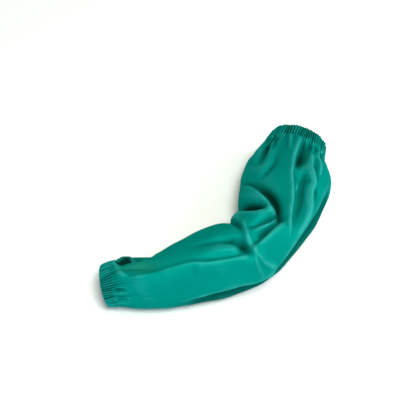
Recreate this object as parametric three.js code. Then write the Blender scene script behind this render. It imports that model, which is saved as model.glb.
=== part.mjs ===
// Elasticated work sleeve lying on its side, bent at the elbow.
// Millimetres, +Z up, floor at z = 0, origin under the middle of the sleeve's box.
import * as THREE from 'three';

// Driving dimensions
const CLOTH_WALL = 2; // wall of the sleeve's cloth tube
const CASING_WALL = 2.6; // wall of a turned hem with its elastic
const PIECE_GAP = 0.4; // clear distance between the tube and each casing
const WRIST_BAND = 19; // width of the wrist casing, along the arm
const UPPER_BAND = 25; // width of the upper casing, along the arm
const BODY_SIDES = 48; // facets around the tube
const WRIST_PLEATS = 30; // gathers around the wrist casing
const UPPER_PLEATS = 40; // gathers around the upper casing
const SAMPLES_PER_PLEAT = 4; // facets across one gather of a casing
const PLEAT_RISE = 1.2; // a gather's height above and below the casing's mean surface
const FOLD_SAMPLES = 24; // points along a fold's line

// One row for each section from the wrist to the upper arm: its centre, half its width across the bend
// and half its height
const SECTIONS = [
  { name: 'wrist rim', x: -180, y: -127, z: 28, halfWidth: 34, halfHeight: 28 },
  { name: 'wrist band', x: -162, y: -125, z: 33, halfWidth: 37, halfHeight: 32 },
  { name: 'wrist puff', x: -133, y: -126, z: 40, halfWidth: 42, halfHeight: 40 },
  { name: 'lower forearm', x: -96, y: -129, z: 43, halfWidth: 42, halfHeight: 44 },
  { name: 'middle forearm', x: -43, y: -116, z: 46, halfWidth: 50, halfHeight: 50 },
  { name: 'upper forearm', x: 9, y: -96, z: 48, halfWidth: 58, halfHeight: 54 },
  { name: 'elbow entry', x: 51, y: -72, z: 49, halfWidth: 56, halfHeight: 55 },
  { name: 'elbow middle', x: 80, y: -35, z: 49, halfWidth: 58, halfHeight: 55 },
  { name: 'elbow exit', x: 99, y: 9, z: 48, halfWidth: 69, halfHeight: 54 },
  { name: 'lower upper arm', x: 112, y: 56, z: 47, halfWidth: 74, halfHeight: 53 },
  { name: 'middle upper arm', x: 121, y: 96, z: 44, halfWidth: 67, halfHeight: 49 },
  { name: 'upper band', x: 132, y: 132, z: 40, halfWidth: 52, halfHeight: 42 },
  { name: 'upper rim', x: 140, y: 155, z: 38, halfWidth: 48, halfHeight: 39 },
];

// Distance from the wrist rim at which each stretch of the tube ends, and how many rings it takes
const RING_SPANS = [
  { name: 'wrist puff', end: 60, rings: 5 },
  { name: 'forearm', end: 200, rings: 7 },
  { name: 'elbow entry', end: 235, rings: 3 },
  { name: 'elbow folds', end: 305, rings: 12 },
  { name: 'elbow exit', end: 350, rings: 5 },
  { name: 'upper arm', end: 465, rings: 7 },
];

// One row for each fold: a curve through three places given by distance along the arm from the wrist rim
// and angle around it (0 outer side, 90 top, 180 inside of the elbow, 270 floor), how far the cloth stands
// out (or in, where negative) at those places, and how fast that fades to the left and right of the curve
const FOLDS = [
  { name: 'arm crease', along: [395, 322, 245], around: [14, 32, 13], rise: [0, 5, 3], fade: [9, 16] },
  { name: 'lower crease', along: [235, 175, 105], around: [12, 14, 2], rise: [2, 4, 0], fade: [9, 10] },
  { name: 'front panel', along: [50, 125, 215], around: [20, 23, 31], rise: [-4, -8, -3], fade: [28, 28] },
  { name: 'arm hollow', along: [385, 312, 240], around: [7, 15, -3], rise: [-3, -8, -6], fade: [17, 10] },
  { name: 'lower hollow', along: [240, 190, 125], around: [-7, 0, -8], rise: [-6, -9, 0], fade: [13, 10] },
  { name: 'elbow valley', along: [352, 318, 286], around: [200, 112, 67], rise: [-4, -7, -3], fade: [14, 10] },
  { name: 'elbow wedge', along: [276, 280, 300], around: [210, 130, 99], rise: [-3, -8, 0], fade: [9, 9] },
  { name: 'elbow pillow', along: [306, 298, 305], around: [200, 125, 96], rise: [2, 4, 0], fade: [10, 8] },
  { name: 'elbow roll', along: [257, 261, 286], around: [205, 130, 88], rise: [2, 5, 0], fade: [8, 8] },
  { name: 'crotch valley', along: [241, 240, 242], around: [205, 145, 105], rise: [-3, -4, -1], fade: [8, 8] },
  { name: 'elbow cap valley', along: [233, 256, 287], around: [71, 69, 66], rise: [-5, -6, -2], fade: [8, 7] },
  { name: 'elbow cap edge', along: [233, 258, 292], around: [60, 60, 56], rise: [2, 4, 0], fade: [8, 16] },
  { name: 'elbow ridge', along: [258, 236, 229], around: [122, 92, 61], rise: [2, 4, 3], fade: [7, 7] },
  { name: 'forearm crease', along: [130, 180, 209], around: [112, 101, 94], rise: [0, -3, -3], fade: [9, 9] },
  { name: 'forearm pocket', along: [204, 212, 224], around: [96, 79, 58], rise: [-2, -6, -2], fade: [9, 9] },
  { name: 'forearm hollow', along: [125, 165, 215], around: [90, 80, 68], rise: [0, -4, -3], fade: [10, 9] },
  { name: 'forearm top edge', along: [216, 160, 100], around: [150, 147, 143], rise: [2, 7, 1], fade: [14, 14] },
  { name: 'wrist dent', along: [27, 39, 54], around: [142, 134, 126], rise: [-7, -11, -3], fade: [9, 12] },
  { name: 'left valley', along: [462, 425, 380], around: [132, 125, 119], rise: [-3, -4, 0], fade: [9, 9] },
  { name: 'right valley', along: [458, 425, 380], around: [67, 67, 80], rise: [-4, -6, 0], fade: [9, 9] },
];

// One row for each end: where the gathers begin, how far they run into the tube, their number and height
const GATHERS = [
  { name: 'wrist', start: WRIST_BAND, reach: 42, ripples: 11, rise: 1.6 },
  { name: 'upper arm', start: -UPPER_BAND, reach: -58, ripples: 13, rise: 2 },
];
const GATHER_WANDER = 0.15; // how unevenly the gathers are spread around, as a share of a radian

const CLOTH_GREEN = 0x00796f;

const centreLine = new THREE.CatmullRomCurve3(
  SECTIONS.map((row) => new THREE.Vector3(row.x, row.y, row.z)), false, 'catmullrom', 0.5);
const sizeLine = new THREE.CatmullRomCurve3(
  SECTIONS.map((row) => new THREE.Vector3(row.halfWidth, row.halfHeight, 0)), false, 'catmullrom', 0.5);
centreLine.arcLengthDivisions = 2000;
const ARM_LENGTH = centreLine.getLength();

// Value at a share from 0 to 1 of the parabola through three values at 0, a half and 1
function throughThree([first, middle, last], share) {
  const back = (1 - share) * (1 - 2 * share);
  const centre = 4 * share * (1 - share);
  const front = share * (2 * share - 1);
  return first * back + middle * centre + last * front;
}

// The oval section at a distance along the arm, with the direction to the bend's outside and the one upwards
function sectionAt(along) {
  const place = centreLine.getUtoTmapping(along / ARM_LENGTH);
  const tangent = centreLine.getTangent(place);
  const outer = new THREE.Vector3(tangent.y, -tangent.x, 0).normalize();
  const up = outer.clone().cross(tangent);
  const size = sizeLine.getPoint(place);
  return { centre: centreLine.getPoint(place), outer, up, tangent, halfWidth: size.x, halfHeight: size.y };
}

// The smooth oval's point and outward direction at an angle around a section, both in the section's plane
function ovalPoint(section, around) {
  const across = Math.cos(around);
  const upwards = Math.sin(around);
  const point = section.centre.clone()
    .addScaledVector(section.outer, section.halfWidth * across)
    .addScaledVector(section.up, section.halfHeight * upwards);
  const outward = section.outer.clone().multiplyScalar(section.halfHeight * across)
    .addScaledVector(section.up, section.halfWidth * upwards)
    .normalize();
  return { point, outward };
}

// Each fold's line as points on the smooth tube
const foldLines = FOLDS.map((fold) => {
  const points = [];
  for (let i = 0; i <= FOLD_SAMPLES; i += 1) {
    const share = i / FOLD_SAMPLES;
    const around = THREE.MathUtils.degToRad(throughThree(fold.around, share));
    points.push(ovalPoint(sectionAt(throughThree(fold.along, share)), around).point);
  }
  return { fold, points };
});

// How far one fold moves a point of the smooth tube: its rise at the nearest place of its line, fading as a
// bell curve with the distance from it
function foldHeight({ fold, points }, point, outward) {
  let nearest = 0;
  points.forEach((candidate, i) => {
    if (candidate.distanceToSquared(point) < points[nearest].distanceToSquared(point)) nearest = i;
  });
  const before = points[Math.max(nearest - 1, 0)];
  const after = points[Math.min(nearest + 1, FOLD_SAMPLES)];
  const leftward = outward.clone().cross(after.clone().sub(before));
  const offset = point.clone().sub(points[nearest]);
  const fade = offset.dot(leftward) > 0 ? fold.fade[0] : fold.fade[1];
  return throughThree(fold.rise, nearest / FOLD_SAMPLES) * Math.exp(-offset.lengthSq() / fade ** 2);
}

// Ripples that run from a casing into the tube and die out
function gatherHeight(along, around) {
  return GATHERS.reduce((sum, gather) => {
    const start = gather.start < 0 ? ARM_LENGTH + gather.start : gather.start;
    const left = THREE.MathUtils.clamp(1 - (along - start) / gather.reach, 0, 1);
    const wave = Math.cos(gather.ripples * (around + GATHER_WANDER * Math.sin(2 * around)));
    return sum + gather.rise * left ** 2 * wave;
  }, 0);
}

// Cloth that would sink below the floor lies flat on it
function layOnFloor(point, height) {
  point.z = Math.max(point.z, height);
  return point;
}

// The tube's outer ring at a distance along the arm
function bodyRing(along) {
  const section = sectionAt(along);
  const ring = [];
  for (let j = 0; j < BODY_SIDES; j += 1) {
    const around = 2 * Math.PI * j / BODY_SIDES;
    const { point, outward } = ovalPoint(section, around);
    const folds = foldLines.reduce((sum, line) => sum + foldHeight(line, point, outward), 0);
    ring.push(layOnFloor(point.addScaledVector(outward, folds + gatherHeight(along, around)), 0));
  }
  return { section, ring };
}

// The ring moved inwards by a wall, square to its own outline
function insideOf({ section, ring }, wall) {
  return ring.map((point, j) => {
    const before = ring[(j + ring.length - 1) % ring.length];
    const after = ring[(j + 1) % ring.length];
    const outward = section.tangent.clone().cross(after.clone().sub(before)).normalize();
    return point.clone().addScaledVector(outward, -wall);
  });
}

// A casing's outer and inner ring, both gathered alike
function casingRing(along, pleats) {
  const section = sectionAt(along);
  const sides = pleats * SAMPLES_PER_PLEAT;
  const outer = [];
  const inner = [];
  for (let j = 0; j < sides; j += 1) {
    const around = 2 * Math.PI * j / sides;
    const { point, outward } = ovalPoint(section, around);
    point.addScaledVector(outward, PLEAT_RISE * Math.cos(pleats * around));
    inner.push(layOnFloor(point.clone().addScaledVector(outward, -CASING_WALL), CASING_WALL));
    outer.push(layOnFloor(point, 0));
  }
  return { outer, inner };
}

// A closed tube wall from matching outer and inner rings, with a flat rim at each end
function tubeWall(outerRings, innerRings) {
  const rings = outerRings.length;
  const sides = outerRings[0].length;
  const innerStart = rings * sides;
  const outer = (i, j) => i * sides + (j % sides);
  const inner = (i, j) => innerStart + outer(i, j);
  const index = [];
  const quad = (a, b, c, d) => index.push(a, b, c, a, c, d);
  for (let j = 0; j < sides; j += 1) {
    for (let i = 0; i + 1 < rings; i += 1) {
      quad(outer(i, j), outer(i + 1, j), outer(i + 1, j + 1), outer(i, j + 1));
      quad(inner(i, j), inner(i, j + 1), inner(i + 1, j + 1), inner(i + 1, j));
    }
    quad(outer(0, j), outer(0, j + 1), inner(0, j + 1), inner(0, j));
    quad(outer(rings - 1, j), inner(rings - 1, j), inner(rings - 1, j + 1), outer(rings - 1, j + 1));
  }
  const geometry = new THREE.BufferGeometry();
  geometry.setFromPoints([...outerRings.flat(), ...innerRings.flat()]);
  geometry.setIndex(index);
  geometry.computeVertexNormals();
  return geometry;
}

function clothMesh(name, geometry) {
  const material = new THREE.MeshStandardMaterial({ color: CLOTH_GREEN, roughness: 0.85, metalness: 0 });
  const mesh = new THREE.Mesh(geometry, material);
  mesh.name = name;
  return mesh;
}

function sleeveBody() {
  const first = WRIST_BAND + PIECE_GAP / 2;
  const last = ARM_LENGTH - UPPER_BAND - PIECE_GAP / 2;
  const places = [first];
  RING_SPANS.forEach(({ end, rings }) => {
    const begin = places.at(-1);
    const stop = Math.min(end, last);
    for (let i = 1; i <= rings; i += 1) places.push(begin + (stop - begin) * i / rings);
  });
  const rings = places.map(bodyRing);
  const outerRings = rings.map((one) => one.ring);
  const innerRings = rings.map((one) => insideOf(one, CLOTH_WALL));
  return clothMesh('sleeve_body', tubeWall(outerRings, innerRings));
}

function casing(name, first, last, pleats) {
  const rings = [first, last].map((along) => casingRing(along, pleats));
  return clothMesh(name, tubeWall(rings.map((one) => one.outer), rings.map((one) => one.inner)));
}

const sleeve = new THREE.Group();
sleeve.add(
  sleeveBody(),
  casing('wrist_cuff', 0, WRIST_BAND - PIECE_GAP / 2, WRIST_PLEATS),
  casing('upper_cuff', ARM_LENGTH - UPPER_BAND + PIECE_GAP / 2, ARM_LENGTH, UPPER_PLEATS),
);

export default sleeve;
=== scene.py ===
"""Builds a cloth work sleeve, gathered into an elastic casing at each end, bent and lying on its side.

The tables below are in millimetres and degrees, and the meshes are in metres. A place on the sleeve is its
distance along the arm from the wrist rim and its angle around it: 0 is the outer side of the bend, 90 the
top, 180 the inside of the elbow and 270 the floor.
"""
import bpy
import numpy as np
from collections import namedtuple
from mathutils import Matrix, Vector


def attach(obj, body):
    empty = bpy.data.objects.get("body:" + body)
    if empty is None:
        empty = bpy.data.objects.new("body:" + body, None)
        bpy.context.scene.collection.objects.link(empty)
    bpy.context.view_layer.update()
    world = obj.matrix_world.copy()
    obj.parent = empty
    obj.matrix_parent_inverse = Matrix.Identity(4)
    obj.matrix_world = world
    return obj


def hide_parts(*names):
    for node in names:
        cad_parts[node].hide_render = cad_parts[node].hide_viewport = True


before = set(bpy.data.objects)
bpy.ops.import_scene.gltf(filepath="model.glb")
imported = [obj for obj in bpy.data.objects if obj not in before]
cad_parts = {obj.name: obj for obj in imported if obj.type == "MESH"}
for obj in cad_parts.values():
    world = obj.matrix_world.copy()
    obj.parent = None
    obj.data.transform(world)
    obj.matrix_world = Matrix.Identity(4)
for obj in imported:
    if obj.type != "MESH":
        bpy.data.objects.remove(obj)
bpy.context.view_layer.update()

bl_info = {
    "name": "Work Sleeve",
    "version": (1, 0, 0),
    "blender": (4, 5, 0),
    "location": "View3D > Sidebar > Work Sleeve",
    "description": "A cloth work sleeve with gathered elastic ends",
    "category": "Add Mesh",
}

MM = 0.001
BODY = "root"

# The arm's sections from the wrist to the upper arm: centre, half the width across the bend, half the height
Section = namedtuple("Section", "name x y z half_width half_height")
SECTIONS = (
    Section("wrist rim", -180, -127, 28, 34, 28),
    Section("wrist band", -162, -125, 33, 37, 32),
    Section("wrist puff", -133, -126, 40, 42, 40),
    Section("lower forearm", -96, -129, 43, 42, 44),
    Section("middle forearm", -43, -116, 46, 50, 50),
    Section("upper forearm", 9, -96, 48, 58, 54),
    Section("elbow entry", 51, -72, 49, 56, 55),
    Section("elbow middle", 80, -35, 49, 58, 55),
    Section("elbow exit", 99, 9, 48, 69, 54),
    Section("lower upper arm", 112, 56, 47, 74, 53),
    Section("middle upper arm", 121, 96, 44, 67, 49),
    Section("upper band", 132, 132, 40, 52, 42),
    Section("upper rim", 140, 155, 38, 48, 39),
)

# The rows of the cloth's grid: where each stretch ends along the arm and how many rows it has
RowSpan = namedtuple("RowSpan", "name end rows")
ROW_SPANS = (
    RowSpan("wrist gathers", 48, 20),
    RowSpan("forearm", 195, 46),
    RowSpan("elbow", 330, 82),
    RowSpan("upper arm", 420, 34),
    RowSpan("upper gathers", 465, 23),
)

# Each fold's line through its places, how far the cloth stands out there, how far that fades to the left and
# right of the line's run, how round it is (1 a sharp crest, 2 a soft swell) and how far it leans to the left
Fold = namedtuple("Fold", "name along around rise left right shape lean", defaults=(2.0, 0.0))
FOLDS = (
    # Pressed crease along the outer side
    Fold("arm crease", (404, 386, 368, 347, 320, 288, 262, 237), (8, 20, 28, 32, 34, 33, 26, 16),
         (0, 2, 4, 6, 8, 8, 7, 6), 5.5, 16, 1.15, 0.3),
    Fold("forearm crease", (237, 221, 210, 195, 171, 152, 129, 108), (16, 14, 17, 20, 17, 12, 3, -6),
         (6, 7, 8, 8, 7, 5, 2, 0), 4.5, 15, 1.15, 0.4),
    # Folds of the bent elbow
    Fold("elbow valley", (362, 344, 332, 325, 315, 302, 292), (165, 136, 119, 109, 95, 81, 70),
         (0, -5, -11, -15, -16, -15, -9), 12, 4.5, 1.4),
    Fold("pillow edge", (353, 342, 325, 307, 297, 291), (156, 145, 127, 105, 93, 84),
         (0, 2, 5, 6, 5, 1), 3.5, 13, 1.25),
    Fold("elbow wedge", (284, 287, 286, 287, 292, 300), (182, 155, 136, 120, 108, 99),
         (-7, -18, -26, -27, -20, -5), 11, 7.5, 1.8),
    Fold("pillow swell", (340, 322, 306, 297), (160, 147, 132, 116), (1, 5, 6, 2), 13, 13, 2, 0.5),
    Fold("roll edge", (277, 275, 277, 281, 287, 297), (162, 142, 122, 112, 104, 97),
         (4, 6, 6, 6, 6, 2), 3.2, 14, 1.3, 0.3),
    Fold("crotch", (251, 245, 240, 237, 232), (200, 152, 130, 110, 90), (-3, -7, -8, -5, -1), 3.5, 6, 1.6),
    Fold("thin crease", (244, 259, 277, 290), (99, 93, 84, 78), (-1, -5, -7, -5), 5, 3.2, 1.3),
    Fold("thin roll", (246, 262, 280), (88, 83, 75), (1.5, 2.5, 1.5), 4, 5, 2),
    Fold("cap valley", (241, 252, 268, 284, 297), (71, 71.5, 71, 68.5, 64.5),
         (-4, -9, -10, -9, -3), 11, 3.5, 1.3),
    Fold("cap edge", (235, 251, 270, 288), (64.5, 65.5, 65, 61), (3, 6, 7, 2), 3.2, 22, 1.25, 0.3),
    Fold("elbow ridge", (258, 242, 235, 231, 230), (122, 106, 92, 76, 64), (1, 4, 5, 5, 4), 5, 5, 1.8),
    Fold("front streak", (230, 228, 227, 228), (60, 52, 40, 18), (2, 2, 1.6, 0.3), 2.8, 2.8, 1.5),
    Fold("outer streak", (232, 233, 235, 241, 248), (61, 50, 37, 27, 26), (2, 2.5, 3, 3, 0.5), 7, 3, 1.5),
    # Forearm
    Fold("forearm pocket", (205, 217, 222, 226), (97, 85, 74, 61), (-3, -7, -8.5, -4), 11, 8, 1.8),
    Fold("top crease", (130, 161, 187, 208), (122, 112, 104, 95), (0, -2.5, -4, -4), 5, 8, 1.5),
    Fold("top swell", (150, 179, 203), (94, 88, 82), (1, 3, 3), 9, 9, 2),
    Fold("panel shade", (80, 135, 162, 182, 209, 223), (94, 89, 78, 73, 67, 64),
         (0, -1.5, -2, -2, -3, -4), 16, 4, 1.6),
    Fold("panel edge", (44, 62, 87, 134, 160, 180, 206, 223), (62, 70, 78, 79, 71, 67, 62, 59),
         (1, 3, 3, 4, 4, 4, 4, 2), 3, 24, 1.15, 0.1),
    Fold("panel dimple", (142, 142, 146), (74, 63, 43), (-0.8, -1.6, 0), 5, 11, 2),
    Fold("forearm top edge", (226, 212, 196, 178, 154, 123, 95), (151, 150, 149, 148, 147, 145, 142),
         (0, 3, 5, 6.5, 7, 5, 1.5), 13, 14, 1.5),
    # Wrist
    Fold("wrist dent", (25, 32, 39, 46, 54), (144, 141, 138, 133, 128),
         (-12, -25, -27, -18, -3), 5, 10, 2.6),
    Fold("dent rim", (20, 30, 40, 48), (158, 155, 153, 151), (1.5, 4.5, 3.5, 0.5), 4, 3.5, 1.6),
    Fold("wrist puff", (24, 31, 38, 48), (122, 97, 82, 69), (3, 6, 6, 1), 4.5, 5.5, 1.6),
    Fold("dent lip", (36, 44, 52, 62), (112, 115, 122, 131), (1, 3.5, 3, 0.5), 3, 8, 1.3),
    Fold("worn flat", (50, 66, 94), (92, 94, 97), (-2, -4, -1), 9, 9, 2),
    Fold("nick", (21, 27, 36, 47), (45, 44, 43, 41), (-3, -6, -5, 0), 1.7, 2.1, 1.6),
    Fold("low nick", (22, 34, 47), (16, 16, 15), (-0.8, -3.5, 0), 3, 3, 1.5),
    # Folds that hang from the upper casing
    Fold("left valley", (462, 444, 424, 402, 382), (146, 138, 131, 130, 134),
         (-5, -9, -9, -6, 0), 7, 7, 1.7),
    Fold("second valley", (462, 450, 437, 420), (127, 123, 120, 117), (-4, -7, -5, 0), 4.5, 4.5, 1.5),
    Fold("faint valley", (444, 424, 406, 388, 370, 354), (109, 108, 108, 109, 116, 125),
         (0, -1.5, -3.5, -4.5, -4, 0), 6, 6, 1.7),
    Fold("short ridge", (464, 455, 433, 414), (99, 98, 94, 92), (3, 5, 4, 0), 3, 3.5, 1.4),
    Fold("sharp ridge", (458, 439, 412, 390, 369, 332, 304, 276), (80, 81.5, 82.5, 83, 82, 72, 62, 44),
         (3, 7, 9, 9, 8, 8, 7, 2), 3, 14, 1.1),
    Fold("dark valley", (462, 446, 428, 408, 392), (60, 63, 67, 73, 77), (-9, -11, -9, -8, -3), 8, 9, 2.2),
    Fold("inner valley", (456, 435, 418, 398, 386), (75, 77.5, 78.5, 79.5, 80),
         (-2, -5, -6, -6, -1), 5, 3.2, 1.6),
    Fold("broad ridge", (452, 433, 400, 387, 370, 351, 323, 293, 268), (56, 61, 62, 58, 53, 52, 43, 38, 33),
         (2, 5, 7, 9, 9, 8, 7, 5, 1), 6, 6, 1.4),
    Fold("link ridge", (366, 350, 337), (73, 71, 70), (0, 3, 0), 2.8, 2.8, 1.5),
    Fold("between ridges", (378, 349, 317, 288), (68, 63, 54, 46), (-2, -5, -4.5, 0), 6, 6, 1.7),
    Fold("small valley", (464, 452, 443, 430), (20, 28, 32, 34), (-6, -10, -9, 0), 4, 4, 1.5),
    Fold("middle valley", (463, 450, 440, 428), (46, 49, 52, 57), (-4, -6, -5, 0), 3.5, 3.5, 1.5),
    Fold("small ridge", (446, 430, 419, 408, 385), (50, 49.5, 46, 44, 44), (2, 5, 5, 4, 0), 3, 3.5, 1.3),
    Fold("edge valley", (464, 450, 436), (4, 8, 14), (-6, -9, 0), 4, 4, 1.5),
    # The side that faces away and the underside
    Fold("inner arm valley", (463, 430, 384), (172, 166, 172), (-6, -6, 0), 7, 7, 1.5),
    Fold("inner arm ridge", (460, 420, 366), (192, 188, 196), (4, 5, 0), 6, 9, 1.4),
    Fold("inner forearm drag", (226, 175, 110), (192, 184, 178), (-4, -4, 0), 6, 8, 1.5),
    Fold("outer arm valley", (463, 432, 388), (338, 336, 346), (-6, -6, 0), 7, 7, 1.5),
    Fold("outer arm ridge", (462, 420, 360), (358, 352, 346), (3.5, 4, 0), 7, 7, 1.4),
)

# Broad flat places of the tube, in the same terms
FLATS = (
    Fold("front panel", (35, 70, 110, 160, 200, 225), (22, 20, 22, 26, 30, 32),
         (-2, -6, -8, -8, -6, -1), 28, 28, 2.2),
    Fold("behind the dent", (44, 53, 62, 70, 82), (152, 146, 138, 134, 130),
         (-3, -10, -9, -4, 0), 11, 11, 2),
    Fold("before the dent", (26, 34, 42, 52, 62), (122, 120, 120, 126, 132),
         (-4, -9, -9, -8, -2), 12, 12, 2),
    Fold("below the arm crease", (396, 374, 343, 315, 288, 262, 238, 212), (4, 10, 14, 15, 13, 6, -3, -4),
         (0, -5, -8, -10, -10, -9, -7, -2), 17, 9, 2.6),
    Fold("below the forearm crease", (236, 221, 210, 195, 170, 147, 120), (-8, -7, -4, -2, -2, -8, -18),
         (0, -4, -9, -12, -11, -8, -2), 26, 8, 2.4),
)


# Arithmetic of the sleeve's shape

def spline(values, place):
    """Uniform Catmull-Rom curve through the rows of values, at places counted in rows from 0."""
    rows = np.asarray(values, float)
    rows = np.concatenate([2 * rows[:1] - rows[1:2], rows, 2 * rows[-1:] - rows[-2:-1]])
    first = np.clip(np.floor(place).astype(int), 0, len(rows) - 4)
    share = (place - first)[..., None]
    a, b, c, d = (rows[first + step] for step in range(4))
    cubic = (3 * b - a - 3 * c + d) * share ** 3
    square = (2 * a - 5 * b + 4 * c - d) * share ** 2
    return 0.5 * (2 * b + (c - a) * share + square + cubic)


def unit(vectors):
    """Vectors divided by their own lengths."""
    return vectors / np.linalg.norm(vectors, axis=-1, keepdims=True).clip(1e-9)


def run_along(line):
    """Distance of each point of a line from its first, measured along it."""
    steps = np.linalg.norm(np.diff(line, axis=0), axis=1)
    return np.concatenate([[0], np.cumsum(steps)])


def turned(degrees):
    """Angles brought between -180 and 180 degrees."""
    return (degrees + 180) % 360 - 180


class Arm:
    """The smooth tube under the folds: a line through the section rows, with an oval across it."""

    LINE_SAMPLES = 4001
    STEP = 1e-3  # share of a row, ahead and behind, that gives the line's direction

    def __init__(self, sections):
        self.rows = np.array([row[1:] for row in sections], float)
        self.last = len(sections) - 1
        self.place = np.linspace(0, self.last, self.LINE_SAMPLES)
        self.run = run_along(spline(self.rows, self.place)[:, :3])
        self.length = self.run[-1]

    def oval(self, along, around):
        """Points at distances along and angles around, and the directions that point out of the tube.

        A point is the centre + half width × cos × (outer side) + half height × sin × (up), and the outward
        direction is half height × cos × (outer side) + half width × sin × (up), at length 1.
        """
        along, around = np.broadcast_arrays(np.asarray(along, float), np.asarray(around, float))
        place = np.interp(along, self.run, self.place)
        row = spline(self.rows, place)
        ahead = spline(self.rows, np.clip(place + self.STEP, 0, self.last))
        behind = spline(self.rows, np.clip(place - self.STEP, 0, self.last))
        tangent = unit((ahead - behind)[..., :3])
        outer = unit(np.stack([tangent[..., 1], -tangent[..., 0], 0 * tangent[..., 0]], -1))
        up = np.cross(outer, tangent)
        half_width, half_height = row[..., 3:4], row[..., 4:5]
        across, upward = np.cos(around)[..., None], np.sin(around)[..., None]
        points = row[..., :3] + half_width * across * outer + half_height * upward * up
        return points, unit(half_height * across * outer + half_width * upward * up)


ARM = Arm(SECTIONS)

FOLD_SAMPLES = 48
FOLD_REACH = 4.0  # fades, past which a fold moves nothing
CREST_SOFTNESS = 0.9  # radius that rounds the sharpest crest


def fold_shift(fold, points, outward):
    """How one fold moves every point.

    The height is the rise at the nearest place of the fold's line, times exp(-(distance / fade) ** shape).
    The point moves that far outwards, and lean times that far to the left of the line's run.
    """
    knots = np.column_stack([fold.along, fold.around, fold.rise]).astype(float)
    place = np.linspace(0, len(knots) - 1, FOLD_SAMPLES)
    along, around, rise = spline(knots, place).T
    line, _ = ARM.oval(along, np.radians(around))
    run = unit(np.gradient(line, axis=0))
    step = np.linalg.norm(np.diff(line, axis=0), axis=1).mean()
    margin = FOLD_REACH * max(fold.left, fold.right)
    close = ((points > line.min(0) - margin) & (points < line.max(0) + margin)).all(-1)
    here, out = points[close], outward[close]
    square = (here ** 2).sum(1)[:, None] - 2 * here @ line.T + (line ** 2).sum(1)
    nearest = square.argmin(1)
    offset = here - line[nearest]
    onward = np.clip((offset * run[nearest]).sum(1), -step, step)
    onward = np.where(nearest == 0, onward.clip(0), onward)
    onward = np.where(nearest == FOLD_SAMPLES - 1, onward.clip(None, 0), onward)
    offset -= onward[:, None] * run[nearest]
    distance = np.linalg.norm(offset, axis=1)
    leftward = unit(np.cross(out, run[nearest]))
    side = (offset * leftward).sum(1) / distance.clip(1e-6)
    fade = fold.right + (fold.left - fold.right) * (0.5 + 0.5 * side)
    spread = (np.sqrt(distance ** 2 + CREST_SOFTNESS ** 2) - CREST_SOFTNESS) / fade
    rise_here = np.interp(nearest + onward / step, np.arange(FOLD_SAMPLES), rise)
    height = rise_here * np.exp(-spread ** fold.shape)
    shift = np.zeros_like(points)
    shift[close] = out * height[:, None] + leftward * (fold.lean * np.abs(height))[:, None]
    return shift


# The two gathered ends: the rim's place and the way inwards along the arm, the casing's width, its number of
# pleats and the samples of each, the seed of its draws, its painted shade and its crests' wear and painted
# highlight
End = namedtuple("End", "name node rim inward band pleats samples seed shade rub")
ENDS = (
    End("wrist", "wrist_cuff", 0.0, 1, 19.0, 52, 16, 11, -2.0, 1.1),
    End("upper", "upper_cuff", ARM.length, -1, 25.0, 66, 14, 23, 4.0, 0.35),
)
WRIST, UPPER = ENDS

# Gathers that run on from a casing into the cloth: their number and height, how far past the stitching they
# swell up, how far they reach and the seed of their spacing
Gather = namedtuple("Gather", "end count rise ramp reach seed")
GATHERS = (
    Gather(WRIST, 21, 1.3, 4, 18, 31),
    Gather(WRIST, 10, 1.8, 8, 34, 32),
    Gather(UPPER, 26, 1.5, 4, 20, 41),
    Gather(UPPER, 12, 2.0, 9, 40, 42),
)
GATHER_WANDER = 0.35  # how uneven their spacing is
GATHER_FALL = 1.5  # how suddenly they die out at their reach

# Slow changes around the arm: number of waves, how uneven they are, their size and what is added to a seed
Change = namedtuple("Change", "waves wander size seed")
FADE_CHANGE = Change(7, 0.5, 0.5, 2)  # share by which the pleats run on further or less
REACH_CHANGE = Change(5, 0.5, 0.4, 7)  # share by which the gathers reach further or less
PLEAT_SLANT = Change(6, 0.5, 0.06, 3)  # how far the pleats lean at the rim, in radians around the arm

# Phases that wander: the number of slow sines, and their least and greatest size
WANDER_SINES = 8
WANDER_SIZES = (0.3, 1.0)

# The wave of a pleat: height of its crest, softness of its valley, its mean and how far the crest is rounded
WAVE_CREST = 1.6
WAVE_VALLEY = 0.04
WAVE_MEAN = 1.08
WAVE_ROUNDING = 0.2

PLEAT_RISE = 2.0  # height of the casing's fine pleats either side of its mean
PLEAT_FADE = 12.0  # how far they run on into the cloth
PLEAT_SHADE = 4.0  # how much more painted shade than in folds goes in between pleats
PLEAT_WANDER = 0.3  # how uneven their spacing is
UNEVEN_PLEATS = 0.3  # share by which their heights differ
UNEVEN_WANDER = 0.6
UNEVEN_SEED = 1  # added to an end's seed
COARSE_EACH = 3  # pleats to one of the coarser gathers among them
COARSE_PLEATS = 0.5  # height of those gathers, as a share
COARSE_WANDER = 0.5
COARSE_SEED = 4  # added to an end's seed
RIM_PLEATS = 0.75  # height of the pleats at the rim, as a share of that at the stitching
STITCH_PINCH = 0.5  # how deep the stitching pulls the cloth in
PINCH_WIDTH = 3.0
GRID_COLUMNS = 240
CLOSER = 0.3  # how much closer than the mean the columns are on the upper outer side
CLOSEST_AT = 75.0
WARP_REACH = 30.0  # how far the grid's columns follow the pleats
FINE_ANGLES = 12001  # samples of three turns, on which the pleats' angles are looked up
PIECE_GAP = 0.05  # half the clear distance between the cloth and a casing
EDGE_ROW = 0.15  # a narrow row that keeps a cut edge crisp
SEAM_AT = 202.0  # angle of the lengthwise seam
FLOOR_SOFTNESS = 3.5
FOLD_RAMP = 6.0  # how far from a casing the folds reach their height

# Slow waves over the whole sleeve: their number, shortest and longest length, height and seed
SLOW_WAVES = 14
SLOW_LENGTHS = (25, 80)
SLOW_RISE = 0.22
SLOW_SEED = 5


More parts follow.
